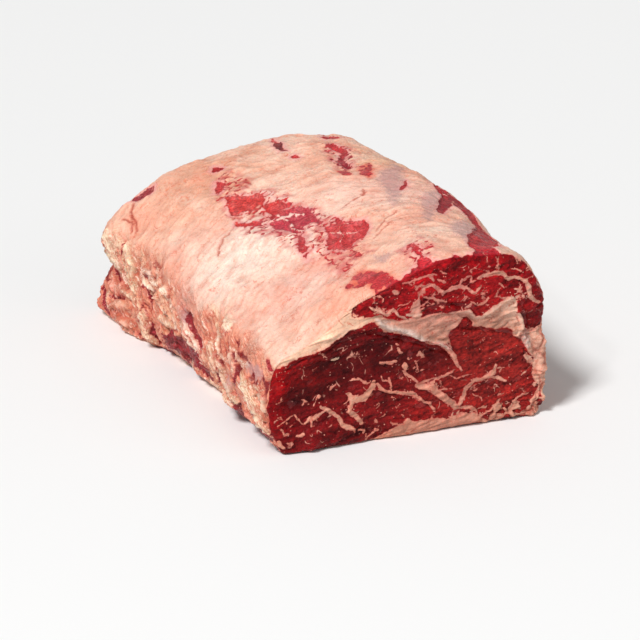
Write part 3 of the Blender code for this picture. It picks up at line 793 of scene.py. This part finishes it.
def side_finish(places, tones, flesh_lines, strand_lines, lobe_lines, skin_lines, seed, raggedness=1.0):
    """A ragged side: lobes of fat with creases between them, raw patches and pale strands of sinew."""
    x, y, z = places.T
    lengthwise = wandered(places, [1, 2], 2.6, 1.1, seed)
    along, up = tilted(y, z, SIDE_FOLD_TILT)
    folded = np.column_stack((
        along + 7.0 * soft_noise(places, 26.0, seed + 4, 2),
        up + 6.0 * soft_noise(places, 20.0, seed + 5, 2),
        x,
    ))
    round_low = spaced(-z + 5.0 * soft_noise(places, 16.0, seed + 10), -26.0, -16.0)
    long_gap, long_number = lobules(folded, (30.0, 7.0, 40.0), seed)
    low_gap, low_number = lobules(places, (40.0, 14.0, 9.0), seed + 2)
    small_gap, _ = lobules(folded, (12.0, 2.8, 14.0), seed + 3)
    gap = long_gap + (low_gap - long_gap) * round_low
    number = np.where(round_low > 0.5, low_number, long_number)
    small = rounded(small_gap, 0.5)
    fibre = soft_noise(folded, (14.0, 2.0, 9.0), seed + 6, 2)
    fine = soft_noise(places, 1.9, seed + 7, 2)
    wet = spaced(soft_noise(places, 22.0, seed + 8, 3), -0.25, 0.45)
    ragged = 2.0 * soft_noise(folded, (9.0, 3.5, 9.0), seed + 13, 3)
    crease = 1.0 - spaced(gap, 0.02, 0.15)
    relief = 2.0 * rounded(gap, 0.6) - 1.4

    pale = tinted(
        blended_tones(lengthwise, tones, (232, 170, 138), 0.15),
        ((250, 218, 182), spaced(number, 0.5, 0.9) * 0.6),
        ((212, 124, 100), spaced(0.35 - number, 0.0, 0.3) * 0.6),
    )
    for half_width, height, tone, points in lobe_lines:
        away = line_gap(lengthwise, points, half_width) + ragged
        inside = spaced(-away, -0.3, 0.5)
        dome = rounded(-away, half_width)
        outline = np.exp(-((away - 0.2) / 0.7) ** 2)
        relief = relief + (0.3 + height * dome - relief) * inside
        crease = np.maximum(crease * (1.0 - inside), outline * (0.5 + 0.5 * wet))
        # painted highlight on the tops of the lobes and painted shade down their edges
        pale = tinted(pale, (tone, inside * 0.75), ((255, 244, 222), inside * spaced(dome, 0.55, 1.0) * 0.3))
        pale = pale * (1.0 - 0.25 * inside * (1.0 - dome))[:, None]

    raw = nearest_gap(lengthwise, flesh_lines)
    strand = spaced(-nearest_gap(lengthwise, strand_lines), -0.8, 0.6)
    crease = crease * (1.0 - strand)
    small_crease = (1.0 - spaced(small_gap, 0.02, 0.2)) * (1.0 - strand) * wet
    relief = raggedness * (relief + 1.2 * small + 1.1 * fibre + 0.35 * fine - 0.9)
    relief += 1.1 * strand - 1.6 * spaced(-raw, -1.5, 1.5)
    flesh = np.maximum(-raw, 0.95 * crease * wet - 0.75)
    flesh = np.where(flesh > 0.0, flesh * 2.0, flesh) - 6.0 * strand
    pale = tinted(
        pale,
        ((196, 100, 74), raggedness * np.clip(small_crease * 0.35 + crease * 0.7, 0.0, 0.85)),
        ((255, 232, 212), strand * 0.8),
        # painted shade: darker in the fibre valleys
        ((226, 150, 122), spaced(-fibre, 0.1, 0.5) * 0.45),
    )
    # painted light and shade: lighter on the raised lobules and fibres, darker between them
    pale = pale * (0.8 + 0.24 * small + raggedness * (0.4 * fibre + 0.16 * fine))[:, None]
    meat = tinted(
        even_tone(places, (152, 36, 44), 0.5 * fibre + 0.3 * fine),
        ((190, 84, 80), spaced(soft_noise(places, 6.0, seed + 12, 2), 0.0, 0.6) * 0.4),
    )
    skin = -nearest_gap(lengthwise, skin_lines) if skin_lines else NO_SKIN
    shadow = raggedness * np.clip(crease * (0.45 + 0.5 * wet) + small_crease * 0.25, 0.0, 1.0)
    return finish_of(relief, flesh, pale, meat, skin, shadow, torn=0.3, side=raggedness)


def underside_finish(places):
    """The flat underside: muscle seen through skin, with wide bands of fat."""
    bands = soft_noise(places, (60.0, 34.0, 60.0), 61, 3) * 30.0
    meat = even_tone(places, (150, 48, 48), 0.2 * soft_noise(places, 7.0, 62, 2))
    skin = soft_noise(places, 40.0, 63, 2) * 12.0 - 2.0
    return finish_of(np.zeros(len(places)), bands, even_tone(places, (238, 188, 160)), meat, skin)


# What makes each surface of the loin, and the values that it takes besides the places.
SURFACES = {
    "cut": (cut_finish, ()),
    "far": (cut_finish, (2.0, 41, 6.0)),
    "left": (side_finish, (LEFT_TONES, LEFT_FLESH, LEFT_STRANDS, LEFT_LOBES, LEFT_SKINS, 51)),
    "right": (side_finish, (RIGHT_TONES, RIGHT_FLESH, RIGHT_STRANDS, RIGHT_LOBES, [], 71, 0.5)),
    "cap": (cap_finish, ()),
    "under": (underside_finish, ()),
}


def describe(places, normals):
    """Works out the relief and the finish at places on the loin, blending the surfaces into each other."""
    y, z = places[:, 1], places[:, 2]
    right, back, top = np.clip(normals.T, 0.0, 1.0)
    left, front, bottom = np.clip(-normals.T, 0.0, 1.0)
    low = spaced(-z + 5.0 * soft_noise(places, 24.0, 81, 2), -68.0, -48.0)
    low_rim = spaced(-normals[:, 1], 0.1, 0.4) * spaced(-z, -8.0, -3.0)
    weights = {
        "cut": (front ** 6 + 3.0 * low_rim) * (y < CUT_FINISH_REACH),
        "far": back ** 6,
        "left": np.clip(-normals[:, 0] + 0.25 * low, 0.0, 1.0) ** 4 * low,
        "right": right ** 4,
        "cap": top ** 4 + left ** 4 * (1.0 - low) + 0.001,
        "under": bottom ** 6 * 3.0 * (1.0 - low_rim),
    }
    whole = sum(weights.values())
    finish = {}
    for surface, weight in weights.items():
        weight = weight / whole
        here = weight > 0.002
        if not here.any():
            continue
        maker, details = SURFACES[surface]
        for name, values in maker(places[here], *details).items():
            share = weight[here] if values.ndim == 1 else weight[here][:, None]
            finish.setdefault(name, np.zeros((len(places),) + values.shape[1:]))[here] += values * share
    relief = finish.pop("relief") * spaced(z, 0.0, 3.0)
    from_rim = np.hypot(line_gap(places[:, [0, 2]], ROUNDED_RIM, 0.0), y)
    relief -= RIM_ROUNDING * np.clip(1.0 - from_rim / RIM_REACH, 0.0, 1.0) ** 1.5
    return relief, finish


# The meshes, worked from the solid.

def only_select(piece):
    bpy.ops.object.select_all(action="DESELECT")
    piece.select_set(True)
    bpy.context.view_layer.objects.active = piece


def edit(piece):
    """Goes into edit mode with all of the piece selected."""
    only_select(piece)
    bpy.ops.object.mode_set(mode="EDIT")
    bpy.ops.mesh.select_all(action="SELECT")


def leave_edit():
    bpy.ops.object.mode_set(mode="OBJECT")


def apply_modifier(piece, name, kind, **settings):
    only_select(piece)
    modifier = piece.modifiers.new(name, kind)
    for setting, value in settings.items():
        setattr(modifier, setting, value)
    bpy.ops.object.modifier_apply(modifier=modifier.name)


def read_vectors(items, name):
    """Three numbers of every vertex or face, as rows."""
    values = np.empty(len(items) * 3)
    items.foreach_get(name, values)
    return values.reshape(-1, 3)


def select_faces(piece, rule):
    """Selects the faces for which rule(centres, normals) is true, and goes into edit mode on faces."""
    centres = read_vectors(piece.data.polygons, "center") / MM + CORNER_TO_FRAME
    chosen = rule(centres, read_vectors(piece.data.polygons, "normal"))
    edit(piece)
    bpy.ops.mesh.select_mode(type="FACE")
    bpy.ops.mesh.select_all(action="DESELECT")
    leave_edit()
    piece.data.polygons.foreach_set("select", chosen)
    bpy.ops.object.mode_set(mode="EDIT")


def model_body():
    """A smooth, evenly meshed copy of the solid."""
    body = bpy.data.objects.new("fat_cap_and_sides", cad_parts[SOLID].data.copy())
    bpy.context.collection.objects.link(body)
    edit(body)
    bpy.ops.mesh.remove_doubles(threshold=MERGE_DISTANCE)
    leave_edit()
    body.data.materials.clear()
    apply_modifier(body, "Rounding", "SUBSURF", levels=1, render_levels=1)
    apply_modifier(body, "Even faces", "REMESH", mode="VOXEL", voxel_size=BODY_SPACING * MM)
    apply_modifier(body, "Smoothing", "SMOOTH", factor=0.5, iterations=SMOOTHING_ROUNDS)
    return body


def model_cut_face(body):
    """The finer face of the cut, open behind, from the body's faces that look to the front."""
    select_faces(body, lambda centres, normals: (normals[:, 1] < -0.3) & (centres[:, 1] < CUT_DEPTH))
    bpy.ops.mesh.duplicate()
    bpy.ops.mesh.separate(type="SELECTED")
    leave_edit()
    cut = next(piece for piece in bpy.context.selected_objects if piece is not body)
    cut.name = "cut_face"
    cut.data.name = "cut_face"
    edit(cut)
    bpy.ops.mesh.subdivide(number_cuts=CUT_SUBDIVISIONS, smoothness=0.6)
    leave_edit()
    return cut


def close_behind(cut):
    """Turns the open rim inwards and brings it together inside the meat."""
    edit(cut)
    bpy.ops.mesh.select_mode(type="EDGE")
    bpy.ops.mesh.select_all(action="DESELECT")
    bpy.ops.mesh.select_non_manifold(extend=False, use_wire=False, use_boundary=True, use_multi_face=False,
                                     use_non_contiguous=False, use_verts=False)
    bpy.ops.mesh.extrude_region_move(TRANSFORM_OT_translate={"value": (0.0, RIM_TURN * MM, 0.0)})
    bpy.ops.transform.resize(value=(RIM_SHRINK, 1.0, RIM_SHRINK))
    bpy.ops.mesh.extrude_region_move(TRANSFORM_OT_translate={"value": (0.0, 0.0, 0.0)})
    bpy.ops.mesh.merge(type="CENTER")
    bpy.ops.mesh.select_all(action="SELECT")
    bpy.ops.mesh.normals_make_consistent(inside=False)
    leave_edit()


def is_out_of_sight(centres, normals):
    """The underside, and the front that the cut face covers."""
    return (normals[:, 2] < -0.6) | ((normals[:, 1] < -0.9) & (centres[:, 1] < CUT_DEPTH))


def is_plainer(centres, normals):
    """The right flank and the far end."""
    flank = (normals[:, 0] > 0.55) & (centres[:, 0] > 120.0) & (normals[:, 1] > -0.4)
    return flank | ((normals[:, 1] > 0.6) & (centres[:, 1] > 240.0))


def dress(piece, material, sink):
    """Gives a piece its relief, finish and material. The sink rule says how deep its front lies."""
    places = read_vectors(piece.data.vertices, "co") / MM + CORNER_TO_FRAME
    normals = read_vectors(piece.data.vertex_normals, "vector")
    relief, finish = describe(places, normals)
    relief -= sink(-normals[:, 1] * (places[:, 1] < SINK_REACH))
    moved = places + normals * relief[:, None]
    piece.data.vertices.foreach_set("co", ((moved - CORNER_TO_FRAME) * MM).ravel())
    piece.data.update()
    for name, values in finish.items():
        is_colour = values.ndim == 2
        attribute = piece.data.attributes.new(name, "FLOAT_COLOR" if is_colour else "FLOAT", "POINT")
        if is_colour:
            values = np.column_stack((values, np.ones(len(values))))
        attribute.data.foreach_set("color" if is_colour else "value", values.ravel())
    piece.data.materials.clear()
    piece.data.materials.append(material)


# The materials.

class Finish:
    """Builds one material's nodes."""

    def __init__(self, name):
        self.material = bpy.data.materials.new(name)
        self.material.use_nodes = True
        self.tree = self.material.node_tree
        self.shader = self.tree.nodes["Principled BSDF"]
        self.place = self.node("ShaderNodeTexCoord").outputs["Object"]

    def node(self, kind, settings=None, **inputs):
        """A new node. An input is given by name, or by number as _0, _1 and so on."""
        made = self.tree.nodes.new(kind)
        for name, value in (settings or {}).items():
            setattr(made, name, value)
        for name, value in inputs.items():
            self.join(value, made.inputs[int(name[1:])] if name[1:].isdigit() else made.inputs[name])
        return made

    def join(self, value, socket):
        """Links another node's output to a socket, or sets the socket to a value."""
        if isinstance(value, bpy.types.NodeSocket):
            self.tree.links.new(value, socket)
        else:
            socket.default_value = value

    def attribute(self, name, output="Fac"):
        return self.node("ShaderNodeAttribute", {"attribute_name": name}).outputs[output]

    def noise(self, size, detail=2.0, roughness=0.5, distortion=0.0, stretch=None, turn=(0.0, 0.0, 0.0)):
        """Noise with lumps of that size in millimetres."""
        place = self.place
        if stretch:
            turned = self.node("ShaderNodeMapping", Vector=place, Rotation=turn).outputs[0]
            place = self.node("ShaderNodeMapping", Vector=turned, Scale=stretch).outputs[0]
        made = self.node("ShaderNodeTexNoise", Vector=place, Scale=1.0 / (size * MM), Detail=detail,
                         Roughness=roughness, Distortion=distortion)
        return made.outputs["Fac"]

    def math(self, operation, first, second=0.0, third=0.0):
        return self.node("ShaderNodeMath", {"operation": operation}, _0=first, _1=second, _2=third).outputs[0]

    def times(self, first, second):
        return self.math("MULTIPLY", first, second)

    def ramp(self, value, low, high, bottom=0.0, top=1.0):
        """Smooth step from bottom at low to top at high."""
        return self.node("ShaderNodeMapRange", {"interpolation_type": "SMOOTHSTEP"},
                         _0=value, _1=low, _2=high, _3=bottom, _4=top).outputs[0]

    def mix(self, share, first, second, blend="MIX"):
        return self.node("ShaderNodeMix", {"data_type": "RGBA", "blend_type": blend},
                         _0=share, _6=first, _7=second).outputs[2]

    def layered(self, base, *layers):
        """A colour with layers over it, each a share, a colour and a way of blending."""
        for share, tone, blend in layers:
            base = self.mix(share, base, (*shade(*tone), 1.0), blend)
        return base

    def lines(self, value, wide, thin, patches, low, high):
        """Thin lines where a noise passes its middle, broken up into patches by a second noise."""
        away = self.math("ABSOLUTE", self.math("SUBTRACT", value, 0.5))
        return self.times(self.ramp(away, wide, thin), self.ramp(patches, low, high))


def finish_raw_beef(name, shine):
    """Pale fibrous fat with pink stains, red muscle with flecks, and a ragged line between them."""
    beef = Finish(name)
    crease = beef.attribute("crease")
    side = beef.attribute("side")
    wobble = beef.math("SUBTRACT", beef.noise(2.0, 4.0, 0.65), 0.5)
    reach = beef.math("MULTIPLY_ADD", beef.attribute("torn"), 2.2, 1.8)
    depth = beef.math("ADD", beef.attribute("flesh"), beef.times(wobble, reach))
    is_flesh = beef.ramp(depth, -0.12, 0.22)

    # muscle
    grain = beef.noise(1.0, 4.0, 0.6, stretch=(0.45, 1.0, 1.0), turn=(0.0, CUT_GRAIN_TILT, 0.0))
    patches = beef.noise(7.0, 3.0, 0.55)
    cells = beef.node("ShaderNodeTexVoronoi", Vector=beef.place, Scale=520.0, Randomness=1.0)
    # pale pink specks: partly flecks of fat, partly painted glints
    specks = beef.ramp(cells.outputs["Distance"], 0.26, 0.12)
    fleck_and_glint = beef.times(specks, beef.ramp(beef.noise(4.0), 0.56, 0.65))
    thread = beef.lines(beef.noise(16.0, 2.0, 0.5, 0.4), 0.012, 0.003, beef.noise(7.0, 1.0), 0.56, 0.66)
    flesh = beef.layered(
        beef.attribute("meat_tone", "Color"),
        (beef.ramp(grain, 0.35, 0.62, 0.55, 0.0), (66, 6, 12), "MIX"),
        (beef.ramp(patches, 0.5, 0.75, 0.0, 0.14), (190, 62, 54), "MIX"),
        (beef.math("MAXIMUM", fleck_and_glint, beef.times(thread, 0.8)), (226, 158, 138), "MIX"),
    )

    # fat
    cap_fibre = beef.noise(1.6, 5.0, 0.65, 2.0, stretch=(0.3, 1.0, 1.0), turn=(0.0, 0.0, -CAP_FIBRE_TILT))
    side_fibre = beef.noise(2.0, 5.0, 0.6, 0.6, stretch=(1.0, 0.2, 1.0), turn=(-SIDE_FOLD_TILT, 0.0, 0.0))
    fibre = beef.mix(side, cap_fibre, side_fibre)
    edge = beef.lines(side_fibre, 0.045, 0.008, beef.noise(9.0, 3.0), 0.38, 0.52)
    glint = beef.times(beef.ramp(side_fibre, 0.58, 0.66), side)
    vein = beef.lines(beef.noise(14.0, 5.0, 0.62, 0.8), 0.012, 0.003, beef.noise(12.0), 0.45, 0.6)
    blush = beef.ramp(beef.noise(3.4, 4.0, 0.65), 0.5, 0.75, 0.0, 0.35)
    streaks = beef.times(beef.math("SUBTRACT", fibre, 0.5), 16.0)
    skin = beef.math("ADD", beef.attribute("skin"), beef.math("MULTIPLY_ADD", wobble, 4.0, streaks))
    fat = beef.layered(
        beef.attribute("fat_tone", "Color"),
        (beef.ramp(fibre, 0.48, 0.66, 0.0, 0.34), (236, 176, 158), "MULTIPLY"),
        (beef.ramp(fibre, 0.44, 0.3, 0.0, 0.3), (140, 140, 128), "SCREEN"),
        (beef.times(edge, beef.times(side, 0.85)), (178, 80, 54), "MIX"),
        (beef.times(glint, 0.6), (255, 240, 218), "MIX"),
        (beef.times(vein, 0.7), (226, 134, 116), "MULTIPLY"),
        (beef.times(blush, 1.5), (248, 206, 192), "MULTIPLY"),
        (beef.ramp(depth, -0.9, 0.0, 0.0, 0.45), (214, 96, 88), "MIX"),
        (beef.ramp(skin, -2.5, 3.0, 0.0, 0.66), (184, 144, 142), "MIX"),
    )

    # painted shade: the crease value darkens creases, grooves, slits and gaps towards dark red, partly the
    # dark blood in them
    dark = beef.ramp(beef.math("ADD", crease, beef.times(wobble, 0.5)), 0.35, 1.0, 0.0, 0.8)
    base = beef.layered(beef.mix(is_flesh, fat, flesh), (dark, (118, 26, 24), "MIX"))
    beef.join(base, beef.shader.inputs["Base Color"])
    beef.join(beef.ramp(beef.noise(1.4), 0.3, 0.7, 0.24, 0.5), beef.shader.inputs["Roughness"])
    fibres = beef.times(fibre, beef.math("MULTIPLY_ADD", side, 0.5, 0.4))
    height = beef.mix(beef.attribute("cut"), fibres, grain)
    height = beef.math("ADD", height, beef.times(beef.noise(2.6, 3.0, 0.6), 1.2))
    height = beef.math("ADD", height, beef.times(is_flesh, -0.25))
    bump = beef.node("ShaderNodeBump", Height=height, Strength=0.9, Distance=0.0006)
    beef.join(bump.outputs[0], beef.shader.inputs["Normal"])
    beef.shader.inputs["Specular IOR Level"].default_value = shine
    beef.shader.inputs["Subsurface Weight"].default_value = 0.1
    beef.shader.inputs["Subsurface Radius"].default_value = (1.0, 0.35, 0.2)
    beef.shader.inputs["Subsurface Scale"].default_value = 0.002
    return beef.material


# The loin.

body = model_body()
cut_face = model_cut_face(body)
for rule, kept_share in ((is_out_of_sight, 0.06), (is_plainer, 0.35)):
    select_faces(body, rule)
    bpy.ops.mesh.decimate(ratio=kept_share)
    leave_edit()

dress(body, finish_raw_beef("Raw beef", 0.3), lambda front: BODY_SINK * spaced(front, 0.5, 0.85))
only_select(body)
bpy.ops.object.shade_smooth()

dress(cut_face, finish_raw_beef("Cut raw beef", 0.1),
      lambda front: RIM_SINK * (1.0 - spaced(front, 0.34, 0.6)))
close_behind(cut_face)
only_select(cut_face)
bpy.ops.object.shade_smooth_by_angle(angle=math.radians(65.0))

for piece in (body, cut_face):
    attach(piece, BODY)
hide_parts(SOLID)


# The studio.

def lay_floor():
    bpy.ops.mesh.primitive_plane_add(size=FLOOR_SIZE, location=(0.0, 0.0, 0.0))
    floor = bpy.context.object
    floor.name = "floor"
    paper = bpy.data.materials.new("Pale floor")
    paper.use_nodes = True
    paper.node_tree.nodes["Principled BSDF"].inputs["Base Color"].default_value = (0.9, 0.9, 0.895, 1.0)
    paper.node_tree.nodes["Principled BSDF"].inputs["Roughness"].default_value = 0.7
    floor.data.materials.append(paper)


def hang_light(name, kind, place, energy, **settings):
    """A light at a place that shines towards the loin."""
    lamp = bpy.data.lights.new(name, kind)
    lamp.energy = energy
    for setting, value in settings.items():
        setattr(lamp, setting, value)
    holder = bpy.data.objects.new(name, lamp)
    bpy.context.collection.objects.link(holder)
    holder.location = place
    holder.rotation_euler = (Vector(place) - LIGHT_TARGET).to_track_quat("Z", "Y").to_euler()


def set_camera():
    view = bpy.data.cameras.new("camera")
    view.lens = CAMERA_LENS
    view.sensor_width = 36.0
    view.clip_start = 0.1
    view.clip_end = 20.0
    holder = bpy.data.objects.new("camera", view)
    bpy.context.collection.objects.link(holder)
    holder.location = CAMERA_PLACE
    holder.rotation_euler = (math.radians(90.0 - CAMERA_ELEVATION), 0.0, math.radians(CAMERA_AZIMUTH))
    bpy.context.scene.camera = holder


lay_floor()
hang_light("key light", "SUN", (-0.8, -0.5, 1.2), 2.7, angle=math.radians(14.0))
hang_light("glint light", "AREA", (-0.9, -0.9, 1.0), 2.5, size=0.08)
hang_light("fill light", "AREA", (1.0, -1.4, 0.8), 2.0, size=1.0)
set_camera()
world = bpy.data.worlds.new("studio")
world.use_nodes = True
world.node_tree.nodes["Background"].inputs["Color"].default_value = (1.0, 1.0, 1.0, 1.0)
world.node_tree.nodes["Background"].inputs["Strength"].default_value = 0.32
bpy.context.scene.world = world
bpy.context.scene.view_settings.view_transform = "Standard"
